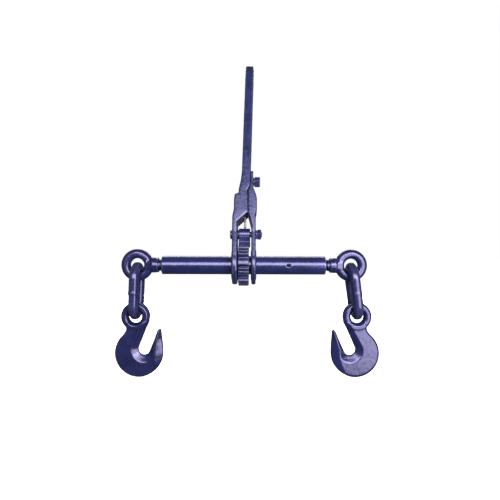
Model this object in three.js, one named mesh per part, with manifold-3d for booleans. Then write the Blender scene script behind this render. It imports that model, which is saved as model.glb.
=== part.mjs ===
// Ratchet load binder: a barrel with a ratchet gear, a lever with a reversible pawl,
// and at each end a screw with a forged eye, a welded link and a grab hook.
// Millimetres, +Z up. The origin is on the barrel's axis in the middle of the gear,
// +X runs along the barrel, the lever stands up and leans back towards +Y.

import * as THREE from 'three';
import { mergeVertices } from 'three/addons/utils/BufferGeometryUtils.js';
import Module from 'manifold-3d';

const wasm = await Module();
wasm.setup();

// ---- Driving dimensions ----

const GAP = 0.3; // between pieces that touch
const RUNNING_GAP = 0.4; // round a piece that turns on another

const SCREW_DIA = 18;
const SCREW_END_X = 4; // from the gear's middle plane to the left screw's inner end

const BARREL_LENGTH = 254;
const BARREL_CHAMFER = 0.8;
const BARREL_WALL = 2.9; // between the two threaded ends
const THREAD_RELIEF = 2.1; // the bore between the threaded ends stands back this much
const THREADED_END = 20; // length of the thread cut in each end of the barrel
const OIL_HOLE_DIA = 4;
const OIL_HOLE_X = 69;

const COLLAR_RIM = 2.5; // of the collar round the shank
const COLLAR_LENGTH = 10;
const EYE_BLEND = 1.5; // the eye's outside reaches this far into the collar
const EYE_OD = 50;
const EYE_BAR = 14.4;
const LEFT_GAP = 5.5; // from the barrel's end to the collar, as the binder is shut
const RIGHT_GAP = 7;
const STOP_PIN_DIA = 4;
const STOP_PIN_CLEARANCE = 0.6; // from each end of the pin to the bore
const STOP_PIN_FROM_END = 4.5;

const LINK_LENGTH = 90;
const LINK_BAR = 15;
const LINK_INNER_WIDTH = 21.4;

const HOOK_THICKNESS = 16;
const HOOK_EYE_OD = 44.2;
const HOOK_EYE_BAR = 12;
const HOOK_BOWL_RADIUS = 37.2;
const HOOK_BOWL_DROP = 56.4; // from the middle of the eye down to the middle of the bowl
const HOOK_BOWL_OFFSET = 6.2; // of the bowl's middle towards the tip
const THROAT_RADIUS = 8.9;
const THROAT_DROP = 50.9;
const THROAT_OFFSET = 13.7;
const THROAT_SLANT = rad(21.5);
const HOOK_TIP_RADIUS = 2.4;
const HOOK_TIP_DROP = 22.4;
const HOOK_TIP_SWELL = 14.4; // how far up from the bowl's middle the point's back bulges
const HOOK_WAIST_X = -13.5;
const HOOK_WAIST_DROP = 19;

const GEAR_TEETH = 12;
const GEAR_RIM = 11.7; // from the barrel's outside to the bottom of the teeth
const TOOTH_HEIGHT = 6;
const GEAR_WIDTH = 16.4;
const TOOTH_TIP_WIDTH = 6;
const TOOTH_ROOT_WIDTH = 8.4;

const HANDLE_LENGTH = 340.5; // from the barrel's axis to the far end
const HANDLE_LEAN = rad(10);
const SHAFT_THICKNESS = 14.2;
const SHAFT_OFFSET = -0.4; // of the shaft's middle line where it would meet the axis
const SHAFT_SLOPE = 0.027; // sideways for each millimetre up
const SHAFT_WIDTH_LOW = 38;
const SHAFT_WIDTH_END = 26;
const WEB_DEPTH = 2.4; // of the long recess in each side of the shaft
const WEB_RIM = 4.6;
const FORK_EYE_WALL = 15.7; // of the fork's arms round the barrel
const GEAR_SIDE_CLEARANCE = 1.4; // from the gear to the left arm
const PAWL_SIDE_CLEARANCE = 1.7; // from the pawl to the cover plate
const ARM_THICKNESS = 8.4;
const ARM_WAIST = 2.4; // the left arm's outside stands back this much above the fork
const COVER_THICKNESS = 6.8;
const COVER_SWELL = 1.9; // the cover plate's outside stands out this much at the seat
const ROOF_HEIGHT = 17; // from the pawl's pin up to the low end of the fork's roof
const ROOF_CLIMB = 15; // from there to its high end, at the cover plate's seat
const SEAT_LENGTH = 35.5; // of the cover plate's flat seat on the forging
const SEAT_DEPTH = 5; // from the cover plate's inside to the seat
const COVER_SLOPE_LENGTH = 19; // of the slope between them
const SHOULDER_STEP = 4.6; // of the forging's left side below the shaft
const TONGUE_LENGTH = 68; // from the start of the seat to the cover plate's upper end
const TONGUE_THICKNESS = 3.8;

const PAWL_PIN_DIA = 9.2;
const PAWL_HUB_WALL = 5; // of the pawl round its pin
const PAWL_STAND_OFF = 7.4; // from the tips of the teeth to the pawl's hub
const PAWL_WIDTH = 18;
const PAWL_OFFSET = 1.1; // of the pawl's middle plane from the gear's
const PAWL_TILT = rad(20); // from neutral to either side
const DETENT_DEPTH = 0.7;

const PLUNGER_DIA = 3.8;
const PLUNGER_X = 1.9; // from the gear's middle plane
const PLUNGER_HEAD_DIA = 5.6;
const PLUNGER_HEAD_LENGTH = 3;
const PLUNGER_LENGTH = 27.1;
const BORE_CLEARANCE = 0.4; // round the plunger's head
const SPRING_SPACE = 18; // from the plunger's head to the end of its bore
const SPRING_WIRE = 0.9;
const SPRING_MEAN_RADIUS = 2.2;
const SPRING_TURNS = 7;

const HEX_FLATS = 14.4;
const HANDLE_BOLT_INSET = 13; // from the cover plate's upper end
const HANDLE_BOLT_DIA = 9.2;
const HANDLE_BOLT_HEAD = 8.6;
const HANDLE_BOLT_GRIP = 12; // length of the bolt inside the shaft
const WASHER_THICKNESS = 2;
const WASHER_OD = 14.8;
const PAWL_PIN_HEAD = 3.4;
const PAWL_PIN_NUT = 6.2;

const RIGHT_LINK_LEAN = rad(7);
const LEFT_LINK_LEAN = rad(2);
const RIGHT_HOOK_LEAN = rad(2.5);

const ROUND = 32; // sides of the large round pieces
const SMALL_ROUND = 20;

// ---- Sizes that follow from them ----

const barrelHalf = BARREL_LENGTH / 2;
const threadBore = SCREW_DIA / 2 + GAP;
const reliefBore = threadBore + THREAD_RELIEF;
const barrelRadius = reliefBore + BARREL_WALL;
const screwShank = barrelHalf + LEFT_GAP - SCREW_END_X;
const stopPinLength = 2 * (reliefBore - STOP_PIN_CLEARANCE);
const eyeReach = COLLAR_LENGTH + EYE_OD / 2 - EYE_BLEND;
const eyeMeanRadius = (EYE_OD - EYE_BAR) / 2;
const eyeHoleRadius = EYE_OD / 2 - EYE_BAR;
const linkMeanRadius = (LINK_INNER_WIDTH + LINK_BAR) / 2;
const linkBowDrop = eyeHoleRadius - LINK_BAR / 2 - GAP; // upper bow below the eye's middle
const hookHoleRadius = HOOK_EYE_OD / 2 - HOOK_EYE_BAR;
const hookDrop = linkBowDrop + LINK_LENGTH - LINK_BAR + hookHoleRadius - LINK_BAR / 2 - GAP;

const gearRoot = barrelRadius + GEAR_RIM;
const gearTip = gearRoot + TOOTH_HEIGHT;
const forkEyeRadius = barrelRadius + FORK_EYE_WALL;
const pawlHub = PAWL_PIN_DIA / 2 + PAWL_HUB_WALL;
const pawlPinHeight = gearTip + pawlHub + PAWL_STAND_OFF;
const pawlPinHole = PAWL_PIN_DIA / 2 + GAP;
const forkLeft = GEAR_WIDTH / 2 + GEAR_SIDE_CLEARANCE; // inside of the left arm
const forkRight = PAWL_OFFSET + PAWL_WIDTH / 2 + PAWL_SIDE_CLEARANCE;
const coverOuter = forkRight + COVER_THICKNESS;
const forgingOuter = forkLeft + ARM_THICKNESS;
const plungerNose = pawlPinHeight + pawlHub + GAP;
const plungerHeadZ = plungerNose + PLUNGER_LENGTH;
const boreTop = plungerHeadZ + SPRING_SPACE;
const boreRadius = PLUNGER_HEAD_DIA / 2 + BORE_CLEARANCE;
const forkTop = pawlPinHeight + ROOF_HEIGHT; // where the fork's roof starts on the left
const seatZ = forkTop + ROOF_CLIMB; // start of the cover plate's seat
const tongueZ = seatZ + TONGUE_LENGTH;
const handleBoltZ = tongueZ - HANDLE_BOLT_INSET;

function rad(degrees) {
  return THREE.MathUtils.degToRad(degrees);
}

function shaftMiddle(z) {
  return SHAFT_OFFSET + SHAFT_SLOPE * z;
}

function shaftRight(z) {
  return shaftMiddle(z) + SHAFT_THICKNESS / 2;
}

function shaftLeft(z) {
  return shaftMiddle(z) - SHAFT_THICKNESS / 2;
}

// ---- Solids: three.js geometry in, manifold joins and cuts, geometry out ----

function solid(geometry) {
  const bare = geometry.clone();
  bare.deleteAttribute('normal');
  bare.deleteAttribute('uv');
  const merged = mergeVertices(bare, 1e-4);
  const mesh = new wasm.Mesh({
    numProp: 3,
    vertProperties: new Float32Array(merged.attributes.position.array),
    triVerts: new Uint32Array(merged.index.array),
  });
  return new wasm.Manifold(mesh);
}

function geometryOf(manifold) {
  const mesh = manifold.getMesh();
  const geometry = new THREE.BufferGeometry();
  geometry.setAttribute('position', new THREE.BufferAttribute(mesh.vertProperties, 3));
  geometry.setIndex(new THREE.BufferAttribute(mesh.triVerts, 1));
  geometry.computeVertexNormals();
  return geometry;
}

function cut(body, ...tools) {
  return tools.reduce((left, tool) => left.subtract(tool), body);
}

function join(body, ...others) {
  return others.reduce((sum, other) => sum.add(other), body);
}

// A closed outline of [x, y] points.
function outline(points) {
  return new THREE.Shape(points.map(([x, y]) => new THREE.Vector2(x, y)));
}

// The same outline as straight steps, without the points that its arcs repeat where they meet.
function stepped(shape, divisions) {
  const points = shape.getPoints(divisions);
  const kept = points.filter((point, i) => point.distanceTo(points.at(i - 1)) > 0.01);
  return new THREE.Shape(kept);
}

// An outline drawn in Y and Z, as seen from +X, between x0 and x1.
function plateAcrossX(shape, x0, x1) {
  const geometry = new THREE.ExtrudeGeometry(shape, { depth: x1 - x0, bevelEnabled: false });
  geometry.rotateX(Math.PI / 2);
  geometry.rotateZ(Math.PI / 2);
  geometry.translate(x0, 0, 0);
  return solid(geometry);
}

// An outline drawn in X and Z, as seen from the front, between -halfDepth and halfDepth.
function plateAcrossY(shape, halfDepth) {
  const geometry = new THREE.ExtrudeGeometry(shape, { depth: 2 * halfDepth, bevelEnabled: false });
  geometry.rotateX(Math.PI / 2);
  geometry.translate(0, halfDepth, 0);
  return solid(geometry);
}

// A rod along X from x0 to x1 at the height z.
function rodX(radius, x0, x1, z = 0, sides = SMALL_ROUND) {
  const geometry = new THREE.CylinderGeometry(radius, radius, x1 - x0, sides);
  geometry.rotateZ(-Math.PI / 2);
  geometry.translate((x0 + x1) / 2, 0, z);
  return solid(geometry);
}

// A rod along Z from z0 to z1 at x.
function rodZ(radius, x, z0, z1, sides = SMALL_ROUND) {
  const geometry = new THREE.CylinderGeometry(radius, radius, z1 - z0, sides);
  geometry.rotateX(Math.PI / 2);
  geometry.translate(x, 0, (z0 + z1) / 2);
  return solid(geometry);
}

// A hexagonal prism along X, with two flats facing up and down.
function hexX(flats, x0, x1, z) {
  const geometry = new THREE.CylinderGeometry(flats / Math.sqrt(3), flats / Math.sqrt(3), x1 - x0, 6);
  geometry.rotateZ(-Math.PI / 2);
  geometry.translate((x0 + x1) / 2, 0, z);
  return solid(geometry);
}

// A turned piece about Z, from [radius, z] points that go round the section.
function turned(points, sides) {
  const profile = points.map(([radius, z]) => new THREE.Vector2(radius, z));
  const geometry = new THREE.LatheGeometry(profile, sides);
  geometry.rotateX(Math.PI / 2);
  return solid(geometry);
}

function ringAlongX(innerRadius, outerRadius, x0, x1, z, sides = SMALL_ROUND) {
  const ring = turned([[innerRadius, x0], [outerRadius, x0], [outerRadius, x1],
    [innerRadius, x1], [innerRadius, x0]], sides);
  return ring.rotate([0, 90, 0]).translate([0, 0, z]);
}

// ---- Bars bent into a closed loop ----

// Two straight runs of the length run, joined by half circles, in the Y-Z plane.
class LoopPath extends THREE.Curve {
  constructor(radius, run) {
    super();
    this.radius = radius;
    this.run = run;
  }

  getPoint(t, target = new THREE.Vector3()) {
    const bow = Math.PI * this.radius;
    const along = t * 2 * (bow + this.run);
    const half = this.run / 2;
    const lengths = [half, bow, this.run, bow, half];
    let part = 0;
    let s = along;
    while (part < 4 && s > lengths[part]) {
      s -= lengths[part];
      part += 1;
    }
    const turn = s / this.radius;
    const places = [
      [this.radius, s],
      [this.radius * Math.cos(turn), half + this.radius * Math.sin(turn)],
      [-this.radius, half - s],
      [-this.radius * Math.cos(turn), -half - this.radius * Math.sin(turn)],
      [this.radius, -half + s],
    ];
    return target.set(0, places[part][0], places[part][1]);
  }
}

// The walls of a round bar swept along a loop, whose two ends meet.
function loopBar(barDia, radius, run, steps, curveSegments) {
  const section = new THREE.Shape();
  section.absarc(0, 0, barDia / 2, 0, 2 * Math.PI);
  const swept = new THREE.ExtrudeGeometry(section, {
    extrudePath: new LoopPath(radius, run),
    steps,
    curveSegments,
  });
  const walls = swept.groups.find((group) => group.materialIndex === 1);
  const all = swept.attributes.position.array;
  const bare = new THREE.BufferGeometry();
  const positions = all.slice(3 * walls.start, 3 * (walls.start + walls.count));
  bare.setAttribute('position', new THREE.BufferAttribute(positions, 3));
  return solid(bare);
}

// A round bar bent into a ring, with its hole along Y.
function ringBar(barDia, meanRadius, sides, around) {
  const profile = new THREE.Path();
  profile.absarc(meanRadius, 0, barDia / 2, 0, 2 * Math.PI);
  const points = profile.getPoints(sides / 2);
  points[points.length - 1] = points[0].clone();
  return solid(new THREE.LatheGeometry(points, around));
}

// ---- Barrel and ratchet gear ----

function barrelTube() {
  const thread = barrelHalf - THREADED_END;
  const taper = 3;
  const end = [
    [barrelRadius, barrelHalf - BARREL_CHAMFER],
    [barrelRadius - BARREL_CHAMFER, barrelHalf],
    [threadBore, barrelHalf],
    [threadBore, thread],
    [reliefBore, thread - taper],
  ];
  const otherEnd = end.map(([radius, z]) => [radius, -z]).reverse();
  const tube = turned([...end, ...otherEnd, end[0]], ROUND).rotate([0, 90, 0]);
  const hole = new THREE.CylinderGeometry(OIL_HOLE_DIA / 2, OIL_HOLE_DIA / 2, barrelRadius, 10);
  hole.translate(OIL_HOLE_X, -barrelRadius, 0);
  return cut(tube, solid(hole));
}

function gearOutline() {
  const pitch = (2 * Math.PI) / GEAR_TEETH;
  const tipHalf = Math.asin(TOOTH_TIP_WIDTH / 2 / gearTip);
  const rootHalf = Math.asin(TOOTH_ROOT_WIDTH / 2 / gearRoot);
  const tooth = [
    [gearRoot, -rootHalf],
    [gearTip, -tipHalf],
    [gearTip, 0],
    [gearTip, tipHalf],
    [gearRoot, rootHalf],
    [gearRoot, pitch / 2],
  ];
  const points = [];
  for (let i = 0; i < GEAR_TEETH; i += 1) {
    for (const [radius, angle] of tooth) {
      const turn = Math.PI / 2 + i * pitch + angle;
      points.push([radius * Math.cos(turn), radius * Math.sin(turn)]);
    }
  }
  return outline(points);
}

function ratchetGear() {
  const blank = plateAcrossX(gearOutline(), -GEAR_WIDTH / 2, GEAR_WIDTH / 2);
  return cut(blank, rodX(barrelRadius + GAP, -GEAR_WIDTH, GEAR_WIDTH, 0, ROUND));
}

// ---- Lever: forging and cover plate ----

// The lever as seen from the side, the same for the forging and the cover plate.
function leverSide() {
  const shape = new THREE.Shape();
  const start = rad(20);
  const low = SHAFT_WIDTH_LOW / 2;
  const end = SHAFT_WIDTH_END / 2;
  shape.absarc(0, 0, forkEyeRadius, Math.PI - start, start, false);
  shape.lineTo(low + 4, pawlPinHeight);
  shape.lineTo(low + 1, seatZ + 20);
  shape.lineTo(low - 1, tongueZ);
  shape.lineTo(end, HANDLE_LENGTH - 60);
  shape.absarc(0, HANDLE_LENGTH - end, end, 0, Math.PI, false);
  shape.lineTo(-end, HANDLE_LENGTH - 60);
  shape.lineTo(1 - low, tongueZ);
  shape.lineTo(-1 - low, seatZ + 20);
  shape.lineTo(-4 - low, pawlPinHeight);
  return plateAcrossX(stepped(shape, 9), -60, 60);
}

function forgingFront() {
  const bottom = -forkEyeRadius - 1;
  const top = HANDLE_LENGTH + 1;
  const shoulder = shaftLeft(handleBoltZ) - SHOULDER_STEP;
  const waist = -forgingOuter + ARM_WAIST;
  const seatEnd = seatZ + SEAT_LENGTH;
  return outline([
    [-forgingOuter, bottom],
    [-forkLeft, bottom],
    [-forkLeft, forkTop],
    [seatLow(), seatZ],
    [seatHigh(), seatEnd],
    [shaftRight(seatEnd + 10), seatEnd + 10],
    [shaftRight(top), top],
    [shaftLeft(top), top],
    [shaftLeft(tongueZ), tongueZ],
    [shaftLeft(handleBoltZ) - 1, handleBoltZ],
    [shoulder, seatEnd + 1],
    [shoulder, seatEnd - 3],
    [waist + 1, seatEnd - 6],
    [waist, seatEnd - 14],
    [waist, seatZ + 6],
    [-forgingOuter, seatZ - 7],
  ]);
}

function seatLow() {
  return forkRight - SEAT_DEPTH;
}

function seatHigh() {
  return seatLow() - 0.7;
}

// The long recess in both sides of the shaft, which leaves a rim all round.
function webRecess(side) {
  const from = tongueZ + 14;
  const to = HANDLE_LENGTH - 34;
  const low = SHAFT_WIDTH_LOW / 2 - 1 - WEB_RIM - 1;
  const high = SHAFT_WIDTH_END / 2 - WEB_RIM;
  const shape = new THREE.Shape();
  shape.moveTo(-low, from);
  shape.quadraticCurveTo(0, from - low, low, from);
  shape.lineTo(high, to);
  shape.quadraticCurveTo(0, to + high, -high, to);
  const floor = SHAFT_THICKNESS / 2 - WEB_DEPTH;
  const x = side > 0 ? [floor, floor + 20] : [-floor - 20, -floor];
  const lean = THREE.MathUtils.radToDeg(Math.atan(SHAFT_SLOPE));
  const pocket = plateAcrossX(stepped(shape, 6), x[0], x[1]);
  return pocket.rotate([0, lean, 0]).translate([SHAFT_OFFSET, 0, 0]);
}

function handleForging() {
  const blank = plateAcrossY(forgingFront(), SHAFT_WIDTH_LOW).intersect(leverSide());
  const boltEnd = shaftRight(handleBoltZ) - HANDLE_BOLT_GRIP;
  return cut(
    blank,
    webRecess(1),
    webRecess(-1),
    rodX(barrelRadius + RUNNING_GAP, -40, 40, 0, ROUND),
    rodX(pawlPinHole, -40, 0, pawlPinHeight),
    rodX(HANDLE_BOLT_DIA / 2 + GAP, boltEnd - GAP, 40, handleBoltZ),
    rodZ(boreRadius, PLUNGER_X, forkTop, boreTop, 16),
  );
}

function tongueOuter(z) {
  return shaftRight(z) + GAP + TONGUE_THICKNESS;
}

function coverPlate() {
  const bottom = -forkEyeRadius - 1;
  const seatEnd = seatZ + SEAT_LENGTH;
  const bend = seatEnd + 10.4;
  const swell = coverOuter + COVER_SWELL;
  const front = outline([
    [forkRight, bottom],
    [coverOuter, bottom],
    [coverOuter, seatZ - 3],
    [swell, seatZ + 6],
    [swell, seatEnd - 14],
    [swell - 1.1, seatEnd - 7],
    [tongueOuter(bend), seatEnd + 7],
    [tongueOuter(tongueZ), tongueZ],
    [shaftRight(tongueZ) + GAP, tongueZ],
    [shaftRight(bend) + GAP, bend],
    [seatHigh() + GAP, seatEnd + GAP],
    [seatLow() + GAP, seatZ],
    [forkRight, seatZ - COVER_SLOPE_LENGTH],
  ]);
  const blank = plateAcrossY(front, SHAFT_WIDTH_LOW).intersect(leverSide());
  return cut(
    blank,
    rodX(barrelRadius + RUNNING_GAP, 0, 40, 0, ROUND),
    rodX(pawlPinHole, 0, 40, pawlPinHeight),
    rodX(HANDLE_BOLT_DIA / 2 + GAP, 0, 40, handleBoltZ),
  );
}

// ---- Bolts, washers, nut and spacer of the lever ----

const boltSeat = tongueOuter(handleBoltZ) + GAP;

function handleBolt() {
  const under = boltSeat + WASHER_THICKNESS + GAP;
  const end = shaftRight(handleBoltZ) - HANDLE_BOLT_GRIP;
  return join(
    hexX(HEX_FLATS, under, under + HANDLE_BOLT_HEAD, handleBoltZ),
    rodX(HANDLE_BOLT_DIA / 2, end, under + 1, handleBoltZ),
  );
}

function handleBoltWasher() {
  const hole = HANDLE_BOLT_DIA / 2 + GAP;
  return ringAlongX(hole, WASHER_OD / 2, boltSeat, boltSeat + WASHER_THICKNESS, handleBoltZ);
}

const nutSeat = coverOuter + GAP;
const nutStart = nutSeat + WASHER_THICKNESS + GAP;

function pawlPin() {
  const headFace = -forgingOuter - GAP;
  return join(
    rodX(HEX_FLATS / 2, headFace - PAWL_PIN_HEAD, headFace, pawlPinHeight),
    rodX(PAWL_PIN_DIA / 2, headFace - 1, nutStart + PAWL_PIN_NUT + 1.4, pawlPinHeight),
  );
}

function pawlPinNut() {
  const nut = hexX(HEX_FLATS, nutStart, nutStart + PAWL_PIN_NUT, pawlPinHeight);
  return cut(nut, rodX(pawlPinHole, nutStart - 1, nutStart + PAWL_PIN_NUT + 1, pawlPinHeight));
}

function pawlPinWasher() {
  return ringAlongX(pawlPinHole, WASHER_OD / 2, nutSeat, nutSeat + WASHER_THICKNESS, pawlPinHeight);
}

function pawlSpacer() {
  const from = -forkLeft + GAP;
  const to = PAWL_OFFSET - PAWL_WIDTH / 2 - GAP;
  return ringAlongX(pawlPinHole, pawlHub - 2.2, from, to, pawlPinHeight);
}

// ---- Pawl, detent plunger and spring ----

// The hub's radius at an angle from straight up, with a shallow groove at each of
// the three places where the plunger holds the pawl.
function hubRadius(angle) {
  const nearest = Math.min(...[-1, 0, 1].map((k) => Math.abs(angle - k * PAWL_TILT)));
  const groove = Math.max(0, 1 - nearest / rad(8));
  return pawlHub - DETENT_DEPTH * groove;
}

// A point of the rear prong about the pin, in the neutral pose, from where it lies about
// the gear's middle when the prong is in the teeth.
function fromTeeth(height, angle) {
  const y = (gearRoot + height) * Math.sin(angle);
  const z = (gearRoot + height) * Math.cos(angle) - pawlPinHeight;
  const cos = Math.cos(PAWL_TILT);
  const sin = Math.sin(PAWL_TILT);
  return [y * cos - z * sin, y * sin + z * cos];
}

function fromHub(wall, angle) {
  return [(pawlHub + wall) * Math.sin(angle), -(pawlHub + wall) * Math.cos(angle)];
}

// The rear prong from the hub's side to the middle.
function prong() {
  return [
    fromHub(7.3, rad(59.7)),
    fromTeeth(3.1, rad(16.6)),
    fromTeeth(1.8, rad(10.2)),
    fromHub(7.3, rad(34)),
    fromHub(3.4, rad(36)),
    fromHub(1.8, 0),
  ];
}

function pawl() {
  const points = [];
  for (let degrees = -96; degrees <= 96; degrees += 4) {
    const angle = rad(degrees);
    points.push([hubRadius(angle) * Math.sin(angle), hubRadius(angle) * Math.cos(angle)]);
  }
  const right = prong();
  const left = right.slice(0, -1).reverse().map(([y, z]) => [-y, z]);
  const shape = outline([...points, ...right, ...left]);
  const body = plateAcrossX(shape, PAWL_OFFSET - PAWL_WIDTH / 2, PAWL_OFFSET + PAWL_WIDTH / 2);
  return cut(body, rodX(PAWL_PIN_DIA / 2 + RUNNING_GAP, -20, 20, 0));
}

function detentPlunger() {
  const rod = PLUNGER_DIA / 2;
  const head = PLUNGER_HEAD_DIA / 2;
  return turned([
    [0, plungerNose],
    [rod * 0.7, plungerNose + 0.5],
    [rod, plungerNose + 1.5],
    [rod, plungerHeadZ - PLUNGER_HEAD_LENGTH],
    [head, plungerHeadZ - PLUNGER_HEAD_LENGTH],
    [head, plungerHeadZ],
    [0, plungerHeadZ],
  ], 16).translate([PLUNGER_X, 0, 0]);
}

class Helix extends THREE.Curve {
  constructor(radius, turns, z0, z1) {
    super();
    this.radius = radius;
    this.turns = turns;
    this.z0 = z0;
    this.z1 = z1;
  }

  getPoint(t, target = new THREE.Vector3()) {
    const turn = 2 * Math.PI * this.turns * t;
    const z = this.z0 + (this.z1 - this.z0) * t;
    return target.set(this.radius * Math.cos(turn), this.radius * Math.sin(turn), z);
  }
}

function detentSpring() {
  const inset = GAP + SPRING_WIRE / 2;
  const path = new Helix(SPRING_MEAN_RADIUS, SPRING_TURNS, plungerHeadZ + inset, boreTop - inset);
  const section = new THREE.Shape();
  section.absarc(0, 0, SPRING_WIRE / 2, 0, 2 * Math.PI);
  const coil = new THREE.ExtrudeGeometry(section, {
    extrudePath: path,
    steps: SPRING_TURNS * 9,
    curveSegments: 3,
  });
  return solid(coil).translate([PLUNGER_X, 0, 0]);
}

// ---- End screw, stop pin, link and hook ----

// The screw for the right-hand end, with its collar's inner face at x = 0.
function endScrew() {
  const shank = SCREW_DIA / 2;
  const collar = shank + COLLAR_RIM;
  const neck = shank + 1;
  const neckEnd = eyeReach - eyeHoleRadius - EYE_BAR / 2;
  const body = turned([
    [0, -screwShank],
    [shank - 1, -screwShank],
    [shank, -screwShank + 1],
    [shank, 0],
    [collar - 1, 0],
    [collar, 1],
    [collar, COLLAR_LENGTH - 2],
    [neck, COLLAR_LENGTH],
    [neck - 2, neckEnd],
    [0, neckEnd],
  ], 24).rotate([0, 90, 0]);
  const eye = ringBar(EYE_BAR, eyeMeanRadius, 12, 28).translate([eyeReach, 0, 0]);
  const pinHole = STOP_PIN_DIA / 2 + GAP;
  const hole = rodZ(pinHole, STOP_PIN_FROM_END - screwShank, -SCREW_DIA, SCREW_DIA, 12);
  return cut(join(body, eye), hole);
}

function stopPin() {
  const half = stopPinLength / 2;
  return rodZ(STOP_PIN_DIA / 2, STOP_PIN_FROM_END - screwShank, -half, half, 12);
}

// The link with the middle of the eye that it hangs in at the origin.
function link() {
  const run = LINK_LENGTH - LINK_BAR - 2 * linkMeanRadius;
  const middle = -linkBowDrop - linkMeanRadius - run / 2;
  return loopBar(LINK_BAR, linkMeanRadius, run, 38, 5).translate([0, 0, middle]);
}

// The hook's flat body in X and Z, with the middle of its eye at the origin and its tip
// towards +X.
function hookOutline() {
  const across = [Math.cos(THROAT_SLANT), -Math.sin(THROAT_SLANT)];
  const middle = [THROAT_OFFSET, -THROAT_DROP];
  const inner = [middle[0] - THROAT_RADIUS * across[0], middle[1] - THROAT_RADIUS * across[1]];
  const outer = [middle[0] + THROAT_RADIUS * across[0], middle[1] + THROAT_RADIUS * across[1]];
  const tipZ = -HOOK_TIP_DROP - HOOK_TIP_RADIUS * across[1];
  const rise = (tipZ - outer[1]) / Math.cos(THROAT_SLANT);
  const tipX = outer[0] + rise * Math.sin(THROAT_SLANT);
  const neckRise = -inner[0] * Math.sin(THROAT_SLANT) - inner[1] * Math.cos(THROAT_SLANT);
  const neck = [
    inner[0] + neckRise * Math.sin(THROAT_SLANT),
    inner[1] + neckRise * Math.cos(THROAT_SLANT),
  ];
  const ringMiddle = HOOK_EYE_OD / 2 - HOOK_EYE_BAR * 0.65;
  const bowlRight = HOOK_BOWL_OFFSET + HOOK_BOWL_RADIUS;
  const shape = new THREE.Shape();
  shape.moveTo(...neck);
  shape.lineTo(...inner);
  shape.absarc(...middle, THROAT_RADIUS, Math.PI - THROAT_SLANT, 2 * Math.PI - THROAT_SLANT, false);
  shape.lineTo(tipX, tipZ);
  shape.absarc(tipX + HOOK_TIP_RADIUS * across[0], -HOOK_TIP_DROP, HOOK_TIP_RADIUS,
    Math.PI - THROAT_SLANT, rad(5), true);
  shape.quadraticCurveTo(bowlRight - 0.4, HOOK_TIP_SWELL - HOOK_BOWL_DROP, bowlRight, -HOOK_BOWL_DROP);
  shape.absarc(HOOK_BOWL_OFFSET, -HOOK_BOWL_DROP, HOOK_BOWL_RADIUS, 0, rad(138), true);
  shape.quadraticCurveTo(HOOK_WAIST_X - 1, -HOOK_WAIST_DROP - 6, HOOK_WAIST_X, -HOOK_WAIST_DROP);
  shape.absarc(0, 0, ringMiddle, rad(-132), rad(-48), false);
  return shape;
}

function hook() {
  const body = plateAcrossY(stepped(hookOutline(), 7), HOOK_THICKNESS / 2);
  const eye = ringBar(HOOK_EYE_BAR, (HOOK_EYE_OD - HOOK_EYE_BAR) / 2, 10, 24);
  return join(body, eye);
}

// ---- Materials and assembly ----

const ENAMEL = { color: 0x2a3060, roughness: 0.32, metalness: 0.1 };
const FORGED_ENAMEL = { color: 0x262c5a, roughness: 0.42, metalness: 0.1 };
const PLATED_STEEL = { color: 0xb9bcc4, roughness: 0.35, metalness: 0.9 };
const DARK_STEEL = { color: 0x3c3e46, roughness: 0.5, metalness: 0.8 };

function part(name, body, finish) {
  const mesh = new THREE.Mesh(geometryOf(body), new THREE.MeshStandardMaterial(finish));
  mesh.name = name;
  return mesh;
}

function leverGroup() {
  const lever = new THREE.Group();
  lever.rotation.x = -HANDLE_LEAN;
  lever.add(
    part('handle_forging', handleForging(), FORGED_ENAMEL),
    part('cover_plate', coverPlate(), FORGED_ENAMEL),
    part('handle_bolt', handleBolt(), ENAMEL),
    part('handle_bolt_lock_washer', handleBoltWasher(), ENAMEL),
    part('pawl_pin', pawlPin(), ENAMEL),
    part('pawl_pin_lock_washer', pawlPinWasher(), ENAMEL),
    part('pawl_pin_nut', pawlPinNut(), ENAMEL),
    part('pawl_spacer', pawlSpacer(), DARK_STEEL),
    part('detent_plunger', detentPlunger(), PLATED_STEEL),
    part('detent_spring', detentSpring(), DARK_STEEL),
    part('ratchet_gear', ratchetGear(), ENAMEL),
  );
  const rocker = part('pawl', pawl(), ENAMEL);
  rocker.position.z = pawlPinHeight;
  rocker.rotation.x = PAWL_TILT;
  lever.add(rocker);
  return lever;
}

// One end of the binder. side is -1 for the left end, which mirrors the hook.
function endGroup(name, side, gap, linkLean, hookLean) {
  const turnRound = [0, 0, side > 0 ? 0 : 180];
  const collarX = side * (barrelHalf + gap);
  const end = new THREE.Group();
  const screw = part(`${name}_end_screw`, endScrew().rotate(turnRound), FORGED_ENAMEL);
  const pin = part(`${name}_stop_pin`, stopPin().rotate(turnRound), DARK_STEEL);
  screw.position.x = collarX;
  pin.position.x = collarX;

  const hanging = new THREE.Group();
  hanging.position.x = collarX + side * eyeReach;
  hanging.rotation.y = -side * linkLean;
  hanging.add(part(`${name}_link`, link(), ENAMEL));

  const inward = side > 0 ? [0, 0, 180] : [0, 0, 0];
  const hanger = part(`${name}_hook`, hook().rotate(inward), FORGED_ENAMEL);
  hanger.position.z = -hookDrop;
  hanger.rotation.y = side * (linkLean - hookLean);
  hanging.add(hanger);

  end.add(screw, pin, hanging);
  return end;
}

const binder = new THREE.Group();
binder.add(
  part('barrel_tube', barrelTube(), ENAMEL),
  leverGroup(),
  endGroup('left', -1, LEFT_GAP, LEFT_LINK_LEAN, 0),
  endGroup('right', 1, RIGHT_GAP, RIGHT_LINK_LEAN, RIGHT_HOOK_LEAN),
);

export default binder;
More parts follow.
